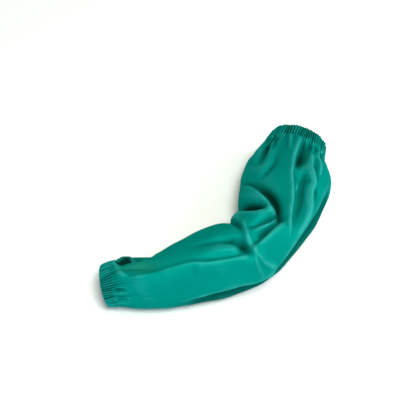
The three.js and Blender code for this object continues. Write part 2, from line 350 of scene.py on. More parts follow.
def wandering(count, wander, seed, around):
    """Phase of gathers around the arm: count turns plus slow sine waves, so that their pitch is uneven."""
    draw = np.random.default_rng(seed)
    waves = np.arange(1, WANDER_SINES + 1)
    size = wander * count * draw.uniform(*WANDER_SIZES, waves.size) / (waves * waves.size ** 0.5)
    shift = draw.uniform(0, 2 * np.pi, waves.size)
    return count * around + (size * np.sin(waves * around[..., None] + shift)).sum(-1)


def slow_change(change, seed, around):
    """A slow wave around the arm: the change's size times the sine of a wandering phase."""
    return change.size * np.sin(wandering(change.waves, change.wander, seed + change.seed, around))


def pleat_wave(phase):
    """Rounded crests with narrow valleys, about zero.

    It is the root of the squared cosine of half the phase plus a softness, times the crest's height, less its
    mean, plus a little of the whole phase's cosine.
    """
    crest = WAVE_CREST * np.sqrt(np.cos(phase / 2) ** 2 + WAVE_VALLEY)
    return crest - WAVE_MEAN + WAVE_ROUNDING * np.cos(phase)


def end_pleats(end, around):
    """The fine pleats of one end, with crests of uneven height, and the coarser gathers among them."""
    few = end.pleats // COARSE_EACH
    fine = pleat_wave(wandering(end.pleats, PLEAT_WANDER, end.seed, around))
    uneven = 1 + UNEVEN_PLEATS * np.sin(wandering(few, UNEVEN_WANDER, end.seed + UNEVEN_SEED, around))
    coarse = pleat_wave(wandering(few, COARSE_WANDER, end.seed + COARSE_SEED, around))
    return fine * uneven + COARSE_PLEATS * coarse


def undulation(points):
    """Slow waves over the whole sleeve: sines of the place along seeded directions, higher where longer."""
    draw = np.random.default_rng(SLOW_SEED)
    directions = unit(draw.normal(size=(SLOW_WAVES, 3)))
    lengths = draw.uniform(*SLOW_LENGTHS, SLOW_WAVES)
    shift = draw.uniform(0, 2 * np.pi, SLOW_WAVES)
    waves = np.sin(points @ directions.T * (2 * np.pi / lengths) + shift)
    return (waves * lengths / SLOW_LENGTHS[1]).sum(-1) * SLOW_RISE


def lay_on_floor(points):
    """Eases cloth near the floor up to it: half of z plus the root of z squared and a softness squared."""
    z = points[..., 2]
    points[..., 2] = 0.5 * (z + np.sqrt(z ** 2 + FLOOR_SOFTNESS ** 2))
    return points


def from_rim(end, along):
    """Distance from an end's rim, inwards along the arm."""
    return (along - end.rim) * end.inward


def past_casing(end, along):
    """Distance past a casing's edge into the cloth, and 0 within the casing."""
    return (from_rim(end, along) - end.band).clip(0)


def pinch(end, along):
    """How far the stitching along a casing's edge pulls the cloth in: a bell about the stitch line."""
    return STITCH_PINCH * np.exp(-((from_rim(end, along) - end.band) / PINCH_WIDTH) ** 2)


def gathered(along, around):
    """Height of all gathers in the cloth, which swell past the stitching and die out along the arm."""
    height = np.zeros(np.broadcast(along, around).shape)
    for end in ENDS:
        fade = PLEAT_FADE * (1 + slow_change(FADE_CHANGE, end.seed, around))
        pleats = PLEAT_RISE * end_pleats(end, around) * np.exp(-past_casing(end, along) / fade)
        height += pleats - pinch(end, along)
    for row in GATHERS:
        past = past_casing(row.end, along)
        wave = pleat_wave(wandering(row.count, GATHER_WANDER, row.seed, around))
        reach = row.reach * (1 + slow_change(REACH_CHANGE, row.seed, around))
        height += row.rise * wave * (1 - np.exp(-past / row.ramp)) * np.exp(-(past / reach) ** GATHER_FALL)
    return height


def pleat_columns(end, columns):
    """Angles that share out the columns evenly over an end's uneven pleats."""
    fine = np.linspace(-np.pi, 5 * np.pi, FINE_ANGLES)
    phase = wandering(end.pleats, PLEAT_WANDER, end.seed, fine)
    start = np.interp(np.radians(SEAM_AT), fine, phase)
    return np.interp(start + 2 * np.pi * end.pleats * columns, phase, fine)


def cloth_grid():
    """Distances along and angles around for every row and column of the cloth, seam column first.

    Each column's share of the turn is shifted by a sine of itself, so that columns are closer on one side.
    """
    first = WRIST.band + PIECE_GAP
    last = ARM.length - UPPER.band - PIECE_GAP
    along = [[first]]
    begin = first + EDGE_ROW
    for span in ROW_SPANS:
        end = min(span.end, last - EDGE_ROW)
        along.append(np.linspace(begin, end, span.rows, endpoint=False))
        begin = end
    along = np.concatenate([*along, [last - EDGE_ROW, last]])[:, None]
    share = np.arange(GRID_COLUMNS) / GRID_COLUMNS
    closest = (CLOSEST_AT - SEAM_AT) / 360
    sway = np.sin(2 * np.pi * (share - closest + 0.5)) + np.sin(2 * np.pi * (closest - 0.5))
    share = share + CLOSER / (2 * np.pi) * sway
    even = np.radians(SEAM_AT) + 2 * np.pi * share
    around = np.broadcast_to(even, (len(along), GRID_COLUMNS)).copy()
    for end in ENDS:
        warp = np.exp(-(past_casing(end, along) / WARP_REACH) ** 2)
        around += warp * (pleat_columns(end, share) - even)
    return np.broadcast_to(along, around.shape), around


# Soft spots of painted shade, painted highlight and a yellowish tint: the middle along and around the arm,
# the reach along it and the spread in degrees
Spot = namedtuple("Spot", "along around reach spread")
POCKET = Spot(36, 146, 11, 9)
POCKET_SHADE = 16.0  # how much painted shade is added in the pocket at the wrist, as depth
YELLOWISH = Spot(62, 97, 30, 14)
FLAP = Spot(262, 142, 12, 14)
FLAP_HIGHLIGHT = 1.3  # how much painted highlight the flap in the elbow takes, as height of a crest
HIGHLIGHT_SPOT = Spot(368, 55, 50, 12)
HIGHLIGHT_MORE = 2.2  # how much more painted highlight the crests of the upper arm take

# The outer crease's line from the wrist on: the forearm's crease, and the arm's without its two end places
ARM_CREASE, FOREARM_CREASE = FOLDS[:2]
CREASE_ALONG = FOREARM_CREASE.along[::-1] + ARM_CREASE.along[-2:0:-1]
CREASE_AROUND = FOREARM_CREASE.around[::-1] + ARM_CREASE.around[-2:0:-1]

# The side below that crease, which takes painted shade: where it begins and ends along the arm, and the
# angles below the crease where it begins and ends, each with how softly it fades
BELOW_FROM = (122, 8)
BELOW_TO = (385, 6)
BELOW_EDGE = (0, 1)
BELOW_REACH = (110, 12)


def patch(spot, along, around):
    """A soft spot: a bell along the arm about its middle times a bell around it about its angle."""
    aside = turned(np.degrees(around) - spot.around)
    return np.exp(-((along - spot.along) / spot.reach) ** 2 - (aside / spot.spread) ** 2)


def rising(value, middle, softness):
    """A smooth step from 0 to 1: 1 / (1 + exp((middle - value) / softness))."""
    return 1 / (1 + np.exp((middle - value) / softness))


def shade_below_crease(along, around):
    """Mask of painted shade: 1 on the lower side of the outer crease and 0 above it, dying out at its ends
    and underneath.
    """
    under = turned(np.interp(along, CREASE_ALONG, CREASE_AROUND) - np.degrees(around))
    beside = rising(along, *BELOW_FROM) * (1 - rising(along, *BELOW_TO))
    return beside * rising(under, *BELOW_EDGE) * (1 - rising(under, *BELOW_REACH))


def cloth_surface(along, around):
    """The folded cloth, and how deep each point lies below the tube, which sets its painted shade.

    A point is the oval's, moved by every fold and flat place and then outwards by the gathers and slow waves.
    The depth counts the folds and gathers but not the flat places, and more is added in the pocket, all as
    painted shade.
    """
    oval, outward = ARM.oval(along, around)
    flat, out = oval.reshape(-1, 3), outward.reshape(-1, 3)
    shift = sum(fold_shift(fold, flat, out) for fold in FOLDS).reshape(oval.shape)
    pressed = sum(fold_shift(fold, flat, out) for fold in FLATS).reshape(oval.shape)
    for end in ENDS:
        ramp = (1 - np.exp(-(past_casing(end, along) / FOLD_RAMP) ** 2))[..., None]
        shift *= ramp
        pressed *= ramp
    height = gathered(along, around)
    # Painted shade: the folds' depth, more between the gathers' pleats and more in the pocket at the wrist
    sunk = -(shift * outward).sum(-1) - PLEAT_SHADE * height
    sunk += POCKET_SHADE * patch(POCKET, along, around)
    waves = outward * (height + undulation(oval))[..., None]
    return lay_on_floor(oval + pressed + shift + waves), sunk


# Meshes from grids

def grid_cells(rows, columns, close_rows):
    """Row and column of each quad of a grid whose columns join round, and whose rows may too."""
    return np.meshgrid(np.arange(rows if close_rows else rows - 1), np.arange(columns), indexing="ij")


def grid_faces(rows, columns, close_rows=False):
    """Corner indexes of a grid's quads."""
    i, j = grid_cells(rows, columns, close_rows)
    below, beside = (i + 1) % rows, (j + 1) % columns
    corners = [i * columns + j, below * columns + j, below * columns + beside, i * columns + beside]
    return np.stack(corners, -1).reshape(-1, 4)


def grid_uv(rows, columns, across, down, close_rows=False):
    """Flat-pattern places of each quad's corners, in metres, with the seams where the grid joins round."""
    i, j = grid_cells(rows, columns, close_rows)
    u, v = across / columns, down / rows
    corners = [(j * u, i * v), (j * u, (i + 1) * v), ((j + 1) * u, (i + 1) * v), ((j + 1) * u, i * v)]
    return np.stack([np.stack(corner, -1) for corner in corners], 2).reshape(-1, 2)


def add_mesh(name, points, faces, uv=None):
    """An object at the origin from points in millimetres and quads, smooth, with an optional UV map."""
    mesh = bpy.data.meshes.new(name)
    mesh.vertices.add(len(points))
    mesh.vertices.foreach_set("co", (points * MM).ravel())
    mesh.loops.add(faces.size)
    mesh.loops.foreach_set("vertex_index", faces.ravel())
    mesh.polygons.add(len(faces))
    mesh.polygons.foreach_set("loop_start", np.arange(len(faces)) * 4)
    mesh.polygons.foreach_set("use_smooth", np.ones(len(faces), bool))
    if uv is not None:
        mesh.uv_layers.new(name="flat").uv.foreach_set("vector", uv.ravel())
    mesh.update(calc_edges=True)
    mesh.validate()
    piece = bpy.data.objects.new(name, mesh)
    bpy.context.collection.objects.link(piece)
    return piece


# Marks that the cloth's material reads: crests for wear and painted highlight, depth and the side below the
# crease for painted shade, and a yellowish patch
MARKS = ("crest", "sunk", "below", "faded")
CREST_PASSES = 14  # times that each point takes its neighbours' mean


def set_marks(piece, **given):
    """Numbers for each vertex that the cloth's material reads: those given, and zeros for the others."""
    for name in MARKS:
        values = given.get(name, np.zeros(len(piece.data.vertices)))
        attribute = piece.data.attributes.new(name, "FLOAT", "POINT")
        attribute.data.foreach_set("value", values.ravel().astype(np.float32))


def crests_and_hollows(points):
    """How far each point of a wrapped grid stands above or below its neighbourhood's mean, in millimetres."""
    smooth = points.copy()
    for _ in range(CREST_PASSES):
        rows = np.concatenate([smooth[:1], smooth, smooth[-1:]])
        sides = np.roll(smooth, 1, 1) + np.roll(smooth, -1, 1)
        smooth = (rows[:-2] + rows[2:] + sides) / 4
    outward = unit(np.cross(np.gradient(points, axis=0), np.roll(points, -1, 1) - np.roll(points, 1, 1)))
    return ((points - smooth) * outward).sum(-1)


# Node groups and materials

class Tree:
    """Short calls for adding and joining the nodes of one tree."""

    def __init__(self, tree):
        self.nodes, self.links = tree.nodes, tree.links

    def add(self, kind, **settings):
        node = self.nodes.new(kind)
        for key, value in settings.items():
            setattr(node, key, value)
        return node

    def put(self, value, socket):
        """A link from another node's socket, or else a plain value."""
        if isinstance(value, bpy.types.NodeSocket):
            self.links.new(value, socket)
        else:
            socket.default_value = value

    def fill(self, node, values):
        """Links or values for a node's inputs, by their labels."""
        for label, value in values.items():
            self.put(value, node.inputs[label])

    def math(self, operation, *values):
        node = self.add("ShaderNodeMath", operation=operation)
        for value, socket in zip(values, node.inputs):
            self.put(value, socket)
        return node.outputs[0]

    def mix(self, share, first, second):
        node = self.add("ShaderNodeMix", data_type="RGBA")
        for value, key in ((share, 0), (first, 6), (second, 7)):
            self.put(value, node.inputs[key])
        return node.outputs[2]

    def where(self, kind):
        """Places on the piece: Object for its own space, UV for its flat pattern."""
        return self.add("ShaderNodeTexCoord").outputs[kind]

    def noise(self, where, scale, detail):
        node = self.add("ShaderNodeTexNoise")
        self.fill(node, {"Vector": where, "Scale": scale, "Detail": detail})
        return node.outputs["Fac"]

    def span(self, value, low, high, to_low=0.0, to_high=1.0):
        """A value between low and high brought between to_low and to_high."""
        node = self.add("ShaderNodeMapRange")
        for item, socket in zip((value, low, high, to_low, to_high), node.inputs):
            self.put(item, socket)
        return node.outputs[0]

    def attribute(self, name):
        return self.add("ShaderNodeAttribute", attribute_name=name).outputs["Fac"]

    def bump(self, height, strength, distance):
        node = self.add("ShaderNodeBump")
        self.fill(node, {"Height": height, "Strength": strength, "Distance": distance})
        return node.outputs["Normal"]


def new_group(name, inputs, outputs):
    """A shader node group with number sockets: itself, its tree's short calls, and its inputs and outputs."""
    group = bpy.data.node_groups.new(name, "ShaderNodeTree")
    for label, default in inputs.items():
        socket = group.interface.new_socket(name=label, in_out="INPUT", socket_type="NodeSocketFloat")
        socket.default_value = default
    for label in outputs:
        group.interface.new_socket(name=label, in_out="OUTPUT", socket_type="NodeSocketFloat")
    tree = Tree(group)
    return group, tree, tree.add("NodeGroupInput").outputs, tree.add("NodeGroupOutput")


# The weave, against ribs that are 1 high
THREADS = 1900.0  # ribs for each metre
RIB_LEAN = 0.45  # how far the ribs lean across the cloth
CROSSING = 0.4  # height of the crossing threads
SLUB = 0.35
SLUB_SCALE = 260.0
SLUB_DETAIL = 3.0


def weave_group(name):
    """Satin weave on the flat pattern: fine twill ribs, broken by crossing threads and a little slub."""
    group, tree, given, result = new_group(name, {"Threads": THREADS, "Slub": SLUB}, ("Height", "Thread"))
    where = tree.where("UV")
    parts = tree.add("ShaderNodeSeparateXYZ")
    tree.links.new(where, parts.inputs[0])
    turns = tree.math("MULTIPLY", given["Threads"], 2 * np.pi)
    warp = tree.math("MULTIPLY", parts.outputs["X"], turns)
    weft = tree.math("MULTIPLY", parts.outputs["Y"], turns)
    rib = tree.math("SINE", tree.math("ADD", warp, tree.math("MULTIPLY", weft, RIB_LEAN)))
    cross = tree.math("MULTIPLY", tree.math("SINE", tree.math("SUBTRACT", weft, warp)), CROSSING)
    slub = tree.math("MULTIPLY", tree.noise(where, SLUB_SCALE, SLUB_DETAIL), given["Slub"])
    height = tree.math("ADD", tree.math("ADD", rib, cross), slub)
    tree.fill(result, {
        "Height": tree.span(height, -1 - CROSSING, 1 + CROSSING + SLUB),
        "Thread": tree.span(rib, -1.0, 1.0),
    })
    return group


DYE_SCALES = {"Cloud": 14.0, "Fleck": 420.0}
DYE_DETAIL = 4.0
DYE_RANGE = (0.3, 0.7)  # the noise that counts as none and as all


def dye_group(name):
    """Uneven dye and handling: slow cloudy patches and fine flecks over the piece's own space."""
    inputs = {f"{label} scale": scale for label, scale in DYE_SCALES.items()}
    group, tree, given, result = new_group(name, inputs, DYE_SCALES)
    where = tree.where("Object")
    for label in DYE_SCALES:
        noise = tree.noise(where, given[f"{label} scale"], DYE_DETAIL)
        tree.fill(result, {label: tree.span(noise, *DYE_RANGE)})
    return group


# Wear and painted light of the folds, in millimetres: where each mark begins to count and where it counts in
# full
WEAR_AND_HIGHLIGHT_FROM = (0.3, 1.6)
PINCHED_FROM = (-0.15, -1.6)
SUNK_FROM = (2.5, 11.0)
PINCHED_SHARE = 0.6  # how far pinched places take the painted shade
BELOW_SHADE_SHARE = 0.7  # how far the side below the outer crease takes the painted shade
BREAKUP_SCALE = 90.0
BREAKUP_DETAIL = 2.0
BREAKUP_RANGE = (0.25, 0.75, 0.5, 1.0)  # the noise's range and the shares that it becomes


def wear_and_light_group(name):
    """Wear and painted light of the folds: crests lighter as wear and painted highlight and a yellowish
    patch, both broken up by noise, and painted shade in the hollows.

    The painted shade is the most of the pinched places, the deep ones and the side below the outer crease.
    """
    outputs = ("Crest", "Hollow", "Faded")
    group, tree, given, result = new_group(name, {"Breakup": BREAKUP_SCALE}, outputs)
    noise = tree.noise(tree.where("Object"), given["Breakup"], BREAKUP_DETAIL)
    broken = tree.span(noise, *BREAKUP_RANGE)
    form = tree.attribute("crest")
    pinched = tree.math("MULTIPLY", tree.span(form, *PINCHED_FROM), PINCHED_SHARE)
    deep = tree.span(tree.attribute("sunk"), *SUNK_FROM)
    shaded_side = tree.math("MULTIPLY", tree.attribute("below"), BELOW_SHADE_SHARE)
    tree.fill(result, {
        "Crest": tree.math("MULTIPLY", tree.span(form, *WEAR_AND_HIGHLIGHT_FROM), broken),
        "Hollow": tree.math("MAXIMUM", pinched, tree.math("MAXIMUM", deep, shaded_side)),
        "Faded": tree.math("MULTIPLY", tree.attribute("faded"), broken),
    })
    return group


GROUP_MAKERS = {"satin weave": weave_group, "uneven dye": dye_group, "fold rubbing": wear_and_light_group}


def place_group(tree, name, values):
    """The outputs of a node group placed in a material with its own values. A group is built only once."""
    group = bpy.data.node_groups.get(name) or GROUP_MAKERS[name](name)
    node = tree.add("ShaderNodeGroup", node_tree=group)
    tree.fill(node, values)
    return node.outputs


def new_material(name):
    """A material with nodes: itself, its tree's short calls and its shader."""
    material = bpy.data.materials.new(name)
    material.use_nodes = True
    tree = Tree(material.node_tree)
    return material, tree, tree.nodes["Principled BSDF"]


CLOTH_CLOUDS = 0.5  # how far the dye's clouds show on the cloth
CASING_CLOUDS = 0.35  # and on the casings
WEAR_AND_HIGHLIGHT_SHARE = 0.45  # how far crests take the colour of wear and painted highlight
THREAD_SHARE = 0.12  # how far single threads take the pale dye
CLOTH_ROUGHNESS = 0.5
FLECK_ROUGHNESS = 0.1  # added in the dye's flecks
CREST_ROUGHNESS = -0.06  # added on worn and highlighted crests
LUSTRE = 0.3  # metallic share that stands for the lustre of sateen
LUSTRE_TINT = (0.25, 1.0, 0.95, 1)
WEAVE_BUMP = 0.35


def cloth_material(name, colours, dye_clouds, weave_depth):
    """Dyed satin: cloudy dye, painted shade in hollows, worn and highlighted crests, a yellowish patch and
    the weave as bump.
    """
    material, tree, shader = new_material(name)
    weave = place_group(tree, "satin weave", {})
    dye = place_group(tree, "uneven dye", {})
    wear_and_light = place_group(tree, "fold rubbing", {})
    tone = tree.mix(tree.math("MULTIPLY", dye["Cloud"], dye_clouds), colours.dye, colours.dye_pale)
    # Painted shade in the hollows
    tone = tree.mix(wear_and_light["Hollow"], tone, colours.hollow)
    # Wear and painted highlight on the crests
    tone = tree.mix(tree.math("MULTIPLY", wear_and_light["Crest"], WEAR_AND_HIGHLIGHT_SHARE), tone, colours.rubbed_and_highlighted)
    tone = tree.mix(wear_and_light["Faded"], tone, colours.faded)
    tone = tree.mix(tree.math("MULTIPLY", weave["Thread"], THREAD_SHARE), tone, colours.dye_pale)
    fleck = tree.math("MULTIPLY", dye["Fleck"], FLECK_ROUGHNESS)
    shine = tree.math("MULTIPLY", wear_and_light["Crest"], CREST_ROUGHNESS)
    tree.fill(shader, {
        "Base Color": tone,
        "Roughness": tree.math("ADD", tree.math("ADD", fleck, shine), CLOTH_ROUGHNESS),
        "Specular IOR Level": 0.0,
        "Specular Tint": LUSTRE_TINT,
        "Metallic": LUSTRE,
        "Normal": tree.bump(weave["Height"], WEAVE_BUMP, weave_depth),
    })
    return material


TWIST_THREADS = 2600.0
TWIST_ROUGHNESS = (0.45, 0.65)
TWIST_BUMP = 0.4
TWIST_DEPTH = 0.0001
THREAD_FLECKS = 900.0
THREAD_FLECK_SHARE = 0.5  # how far the thread's flecks take the cloth's dye


def thread_material(name, colours):
    """Sewing thread: the dye a little deeper, with twist lines along each stitch."""
    material, tree, shader = new_material(name)
    twist = place_group(tree, "satin weave", {"Threads": TWIST_THREADS})
    dye = place_group(tree, "uneven dye", {"Fleck scale": THREAD_FLECKS})
    fleck = tree.math("MULTIPLY", dye["Fleck"], THREAD_FLECK_SHARE)
    tree.fill(shader, {
        "Base Color": tree.mix(fleck, colours.thread, colours.dye),
        "Roughness": tree.span(twist["Thread"], 0.0, 1.0, *TWIST_ROUGHNESS),
        "Specular IOR Level": 0.1,
        "Normal": tree.bump(twist["Height"], TWIST_BUMP, TWIST_DEPTH),
    })
    return material


def settle(piece, node, material):
    """A finished piece takes its material, rides on the sleeve's body and may stand for a node."""
    piece.data.materials.append(material)
    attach(piece, BODY)
    if node:
        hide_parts(node)


# Casings

CASING_ROWS = 12  # rows of the profile along each face
RIM_STEPS = 6  # steps round the fold of the rim
ELASTIC_SWELL = 0.5  # how far the outer face swells over the elastic
INNER_SLACK = 0.2  # how far the inner face hangs loose
HEM_PRESS = 0.36  # how far the stitching presses the inner face back
HEM_PAST = 3.0  # how far the inner face runs past the stitching
# The turned edge's outline, as distances past the stitching and back from the inner face
HEM_LIP = ((3.4, 0.2), (3.0, 0.75), (0.6, 0.7))


def casing_profile(end, thickness):
    """A casing's closed outline as (distance from the rim, depth under the outer face).

    It runs down the outer face to the rim, round the fold of the rim, up the inner face to a turned edge
    past the stitching and back. The outer face swells over the elastic as half a sine.
    """
    half = thickness / 2
    edge = end.band - PIECE_GAP
    outer = np.concatenate([[edge], np.linspace(edge - EDGE_ROW, half, CASING_ROWS)])
    turn = np.linspace(0, np.pi, RIM_STEPS + 1)[1:-1]
    inner = np.linspace(half, end.band + HEM_PAST, CASING_ROWS)
    swell = ELASTIC_SWELL * np.sin(np.pi * outer / end.band)
    pressed = HEM_PRESS * np.exp(-((inner - end.band) / PINCH_WIDTH) ** 2)
    return np.concatenate([
        np.column_stack([outer, -swell]),
        np.column_stack([half - half * np.sin(turn), half - half * np.cos(turn)]),
        np.column_stack([inner, thickness + INNER_SLACK - pressed]),
        np.array([end.band, thickness]) + np.array(HEM_LIP) * (1, -1),
    ])


def casing_wave(end, distance, around):
    """Height of a casing's pleats, which slant more and stand lower towards the rim."""
    inward = distance / end.band
    slant = (1 - inward) * slow_change(PLEAT_SLANT, end.seed, around)
    return PLEAT_RISE * (RIM_PLEATS + (1 - RIM_PLEATS) * inward) * end_pleats(end, around + slant)


def casing_surface(end, distance, depth, around):
    """A casing's points: the oval at distances from the rim, pleated, pinched at the stitching and set in."""
    along = end.rim + end.inward * distance
    oval, outward = ARM.oval(along, around)
    height = casing_wave(end, distance, around) - pinch(end, along) + undulation(oval) - depth
    return oval + outward * height[..., None]


def casing_grid(end, thickness):
    """Rows round the closed profile and columns round the pleats: the points and the pleats' height there."""
    profile = casing_profile(end, thickness)
    share = np.arange(end.pleats * end.samples) / (end.pleats * end.samples)
    around = pleat_columns(end, share)[None, :]
    points = casing_surface(end, profile[:, :1], profile[:, 1:], around)
    return lay_on_floor(points), casing_wave(end, profile[:, :1], around)


# Stitches

STITCH_RINGS = 6  # sections along one stitch
STITCH_SIDES = 6  # corners of each section
STITCH_CAP = np.array([[0, 1, 2, 3], [0, 3, 4, 5]])  # the two quads that close an end section
STITCH_ARCH = 1.6  # how far a stitch's middle arches above its ends, in radii
STITCH_SINK = 0.5  # how deep its ends lie in the cloth, in radii
STITCH_TIP = 0.03  # the least that its girth, squared, shrinks to at its ends
STITCH_INSET = 1.6  # distance of a casing's stitch row from the casing's edge


def stitch_tubes(path, radius, length, gap):
    """Short thread stitches along a path of points with outward directions, as closed tubes in one mesh.

    Each stitch follows the path for its length, arches over the cloth as half a sine, and has round sections
    that shrink to its ends.
    """
    points, outward = path
    run = run_along(points)
    starts = np.arange(gap, run[-1] - length, length + gap)
    share = np.linspace(0, 1, STITCH_RINGS)
    at = starts[:, None] + length * share
    centre = np.stack([np.interp(at, run, points[:, axis]) for axis in range(3)], -1)
    out = unit(np.stack([np.interp(at, run, outward[:, axis]) for axis in range(3)], -1))
    arch = radius * (STITCH_ARCH * np.sin(np.pi * share) - STITCH_SINK)
    centre = centre + out * arch[None, :, None]
    ahead = unit(np.gradient(centre, axis=1))
    beside = unit(np.cross(ahead, out))
    upward = np.cross(beside, ahead)
    girth = radius * np.sqrt(np.clip(1 - (2 * share - 1) ** 4, STITCH_TIP, 1))
    turn = np.arange(STITCH_SIDES) * 2 * np.pi / STITCH_SIDES
    ring = beside[:, :, None] * np.cos(turn)[:, None] + upward[:, :, None] * np.sin(turn)[:, None]
    tubes = centre[:, :, None] + ring * girth[:, None, None]
    per = STITCH_RINGS * STITCH_SIDES
    far_cap = per - STITCH_SIDES + STITCH_CAP[:, ::-1]
    one = np.concatenate([grid_faces(STITCH_RINGS, STITCH_SIDES), STITCH_CAP, far_cap])
    faces = (one + np.arange(len(starts))[:, None, None] * per).reshape(-1, 4)
    side_uv = grid_uv(STITCH_RINGS, STITCH_SIDES, 2 * np.pi * radius * MM, length * MM)
    cap_uv = np.zeros((2 * STITCH_CAP.size, 2))
    uv = np.tile(np.concatenate([side_uv, cap_uv]), (len(starts), 1))
    return tubes.reshape(-1, 3), faces, uv


def casing_stitch_path(end):
    """The stitch line round a casing, just inside its edge, and its outward directions."""
    around = pleat_columns(end, np.linspace(0, 1, end.pleats * end.samples + 1))
    distance = np.full_like(around, end.band - STITCH_INSET)
    along = end.rim + end.inward * distance
    points = casing_surface(end, distance, np.zeros_like(around), around)
    return lay_on_floor(points), ARM.oval(along, around)[1]


# Lengthwise seam

SEAM_HALF = 4.5  # half its width
SEAM_RISE = 0.8  # how far it stands out of the cloth
SEAM_ROOT = 0.5  # how deep its underside lies in the cloth
SEAM_ROWS_AT = 3.0  # distance of its two stitch rows from its middle
SEAM_PULL = 0.3  # how deep the stitch rows pull it in
SEAM_PULL_WIDTH = 0.7
SEAM_EDGE = 8  # power of its fall to the edges: the higher, the flatter its top
SEAM_COLUMNS = 15
SEAM_TURN = 0.01  # angle to either side over which the oval's length for each radian is measured
STITCH_SIDE = 0.5  # distance to either side of a stitch row that gives its outward directions


def seam_base(across):
    """The cloth along the seam at places across it, in millimetres: points, outward directions and shade
    depths.

    The angle is the seam's own plus the place across it over the oval's length for each radian there.
    """
    along = cloth_grid()[0][:, :1]
    middle = np.radians(SEAM_AT)
    one_side, other_side = (ARM.oval(along, middle + turn)[0] for turn in (SEAM_TURN, -SEAM_TURN))
    rate = np.linalg.norm(one_side - other_side, axis=-1) / (2 * SEAM_TURN)
    around = middle + across / rate
    points, sunk = cloth_surface(np.broadcast_to(along, around.shape), around)
    return points, unit(np.cross(np.gradient(points, axis=0), np.gradient(points, axis=1))), sunk


def seam_height(across):
    """The seam's outline: flat-topped, falling off at both edges and pulled in along its stitch rows."""
    pulled = SEAM_PULL * np.exp(-((np.abs(across) - SEAM_ROWS_AT) / SEAM_PULL_WIDTH) ** 2)
    return SEAM_RISE * (1 - (across / SEAM_HALF) ** SEAM_EDGE) - pulled


def seam_grid():
    """Rows along the arm and columns round the seam's closed outline, over its top and back underneath.

    Gives the points and the depth that sets each one's painted shade.
    """
    across = np.linspace(-SEAM_HALF, SEAM_HALF, SEAM_COLUMNS)
    points, outward, sunk = seam_base(across)
    top = points + outward * seam_height(across)[:, None]
    under = (points - outward * SEAM_ROOT)[:, ::-1]
    return np.concatenate([top, under], 1), np.concatenate([sunk, sunk[:, ::-1]], 1)


def seam_stitch_path(side):
    """One of the seam's stitch rows, on the side given as -1 or 1, and its outward directions."""
    across = side * SEAM_ROWS_AT + np.array([-STITCH_SIDE, 0.0, STITCH_SIDE])
    points, outward, _ = seam_base(across)
    line = points + outward * seam_height(across)[:, None]
    return line[:, 1], outward[:, 1]


# Settings that a user would change

def length_property(name, description, default):
    """A length in metres."""
    return bpy.props.FloatProperty(name=name, description=description, default=default, unit="LENGTH")


def power_property(name, description, default):
    """A lamp's power in watts."""
    return bpy.props.FloatProperty(name=name, description=description, default=default, subtype="POWER")


def colour_property(name, description, default):
    """A colour as red, green, blue and alpha."""
    return bpy.props.FloatVectorProperty(
        name=name, description=description, default=default, size=4, min=0, max=1, subtype="COLOR")


class SleeveSizes(bpy.types.PropertyGroup):
    """Sizes of the sleeve's make"""
    cloth_thickness: length_property("Cloth thickness", "Thickness of the sleeve's cloth", 0.001)
    casing_thickness: length_property("Casing thickness", "Thickness of a hem with its elastic", 0.0026)
    thread_radius: length_property("Thread radius", "Half the width of the sewing thread", 0.00026)
    stitch_length: length_property("Stitch length", "Length of one stitch", 0.0028)
    stitch_gap: length_property("Stitch gap", "Space between two stitches", 0.0006)
    weave_depth: length_property("Weave depth", "Depth of the weave's bump", 0.00012)
    cut_width: length_property("Cut width", "Widest width of the flat cloth", 0.40)
    cut_length: length_property("Cut length", "Length of the flat cloth", 0.584)
    cut_wrist: length_property("Cut wrist", "Width of the flat cloth at the wrist", 0.30)


class SleeveColours(bpy.types.PropertyGroup):
    """Colours of the cloth, the thread and the stage"""
    dye: colour_property("Dye", "Colour of the cloth", (0.0, 0.19, 0.158, 1))
    dye_pale: colour_property("Pale dye", "Colour where the dye is thinner", (0.0, 0.225, 0.19, 1))
    # Painted shade laid into folds, pleats and the side below the outer crease
    hollow: colour_property("Hollow", "Colour in the folds' hollows", (0.0, 0.02, 0.013, 1))
    # Crests: lighter as wear and as painted highlight
    rubbed_and_highlighted: colour_property("Rubbed and highlighted", "Colour of rubbed crests", (0.05, 0.42, 0.40, 1))
    # A duller, yellower patch on top near the wrist
    faded: colour_property("Faded", "Colour of the faded patch at the wrist", (0.01, 0.205, 0.125, 1))
    thread: colour_property("Thread", "Colour of the sewing thread", (0.0, 0.12, 0.095, 1))
    floor: colour_property("Floor", "Colour of the floor", (0.86, 0.86, 0.86, 1))
    key_light: colour_property("Key light", "Colour of the high light from the front", (0.97, 1.0, 0.92, 1))
    front_light: colour_property(
        "Front light", "Colour of the low light from the front", (0.35, 0.75, 1.0, 1))
    side_light: colour_property("Side light", "Colour of the light from the right", (0.9, 0.96, 1.0, 1))
    room_light: colour_property("Room light", "Colour of the light from all round", (1.0, 1.0, 0.88, 1))


class StageSettings(bpy.types.PropertyGroup):
    """Camera and lights"""
    aim: bpy.props.FloatVectorProperty(
        name="Aim", description="Point on the floor at the picture's middle", default=(-0.03, 0.058, 0.0),
        subtype="TRANSLATION")
    elevation: bpy.props.FloatProperty(
        name="Elevation", description="Camera's angle above the floor", default=np.radians(55),
        subtype="ANGLE")
    distance: length_property("Distance", "Camera's distance from its aim", 1.8)
    lens: bpy.props.FloatProperty(
        name="Lens", description="Focal length on a 36 mm sensor", default=95.3)
    key_power: power_property("Key power", "Power of the high light from the front", 46.0)
    front_power: power_property("Front power", "Power of the low light from the front", 18.0)
    side_power: power_property("Side power", "Power of the light from the right", 26.0)
    room_strength: bpy.props.FloatProperty(
        name="Room strength", description="Strength of the light from all round", default=0.42)


